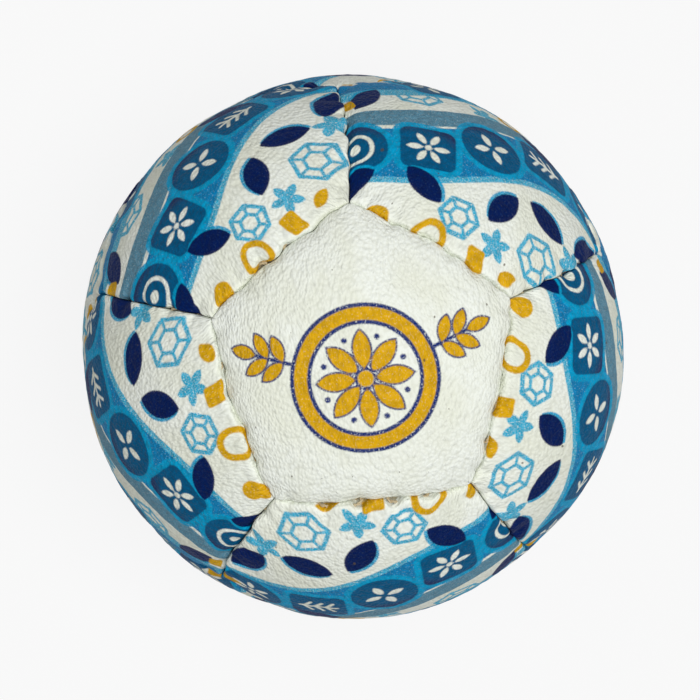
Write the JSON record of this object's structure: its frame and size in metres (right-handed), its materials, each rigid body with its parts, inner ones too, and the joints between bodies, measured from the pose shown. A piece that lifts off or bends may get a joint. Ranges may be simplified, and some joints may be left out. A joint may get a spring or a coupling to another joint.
{
  "type": "lacrosse ball",
  "caption": "Soft practice ball of domed pentagonal leather panels, turned in and stitched edge to edge round a core of packed pellets, with a small flat patch to rest on.",
  "frame": {"origin": "centre of the ball", "axes": "+Z out through the middle of the top panel, +Y over one of that panel's corners; -Z is the resting side"},
  "size_m": [0.0624, 0.0626, 0.063],
  "materials": {
    "leather": "white pebbled synthetic leather, printed",
    "thread": "waxed beige thread",
    "pellets": "packed pellets"
  },
  "bodies": {
    "root": {"top_panel": "leather", "upper_panel_1": "leather", "upper_panel_2": "leather", "upper_panel_3": "leather", "upper_panel_4": "leather", "upper_panel_5": "leather", "lower_panel_1": "leather", "lower_panel_2": "leather", "lower_panel_3": "leather", "lower_panel_4": "leather", "lower_panel_5": "leather", "bottom_panel": "leather", "closing_thread": "thread", "top_thread_1": "thread", "top_thread_2": "thread", "top_thread_4": "thread", "top_thread_5": "thread", "upper_thread_1": "thread", "upper_thread_2": "thread", "upper_thread_3": "thread", "upper_thread_4": "thread", "upper_thread_5": "thread", "equator_thread_1": "thread", "equator_thread_2": "thread", "equator_thread_3": "thread", "equator_thread_4": "thread", "equator_thread_5": "thread", "equator_thread_6": "thread", "equator_thread_7": "thread", "equator_thread_8": "thread", "equator_thread_9": "thread", "equator_thread_10": "thread", "lower_thread_1": "thread", "lower_thread_2": "thread", "lower_thread_3": "thread", "lower_thread_4": "thread", "lower_thread_5": "thread", "bottom_thread_1": "thread", "bottom_thread_2": "thread", "bottom_thread_3": "thread", "bottom_thread_4": "thread", "bottom_thread_5": "thread", "pellet_fill": "pellets"}
  },
  "joints": []
}
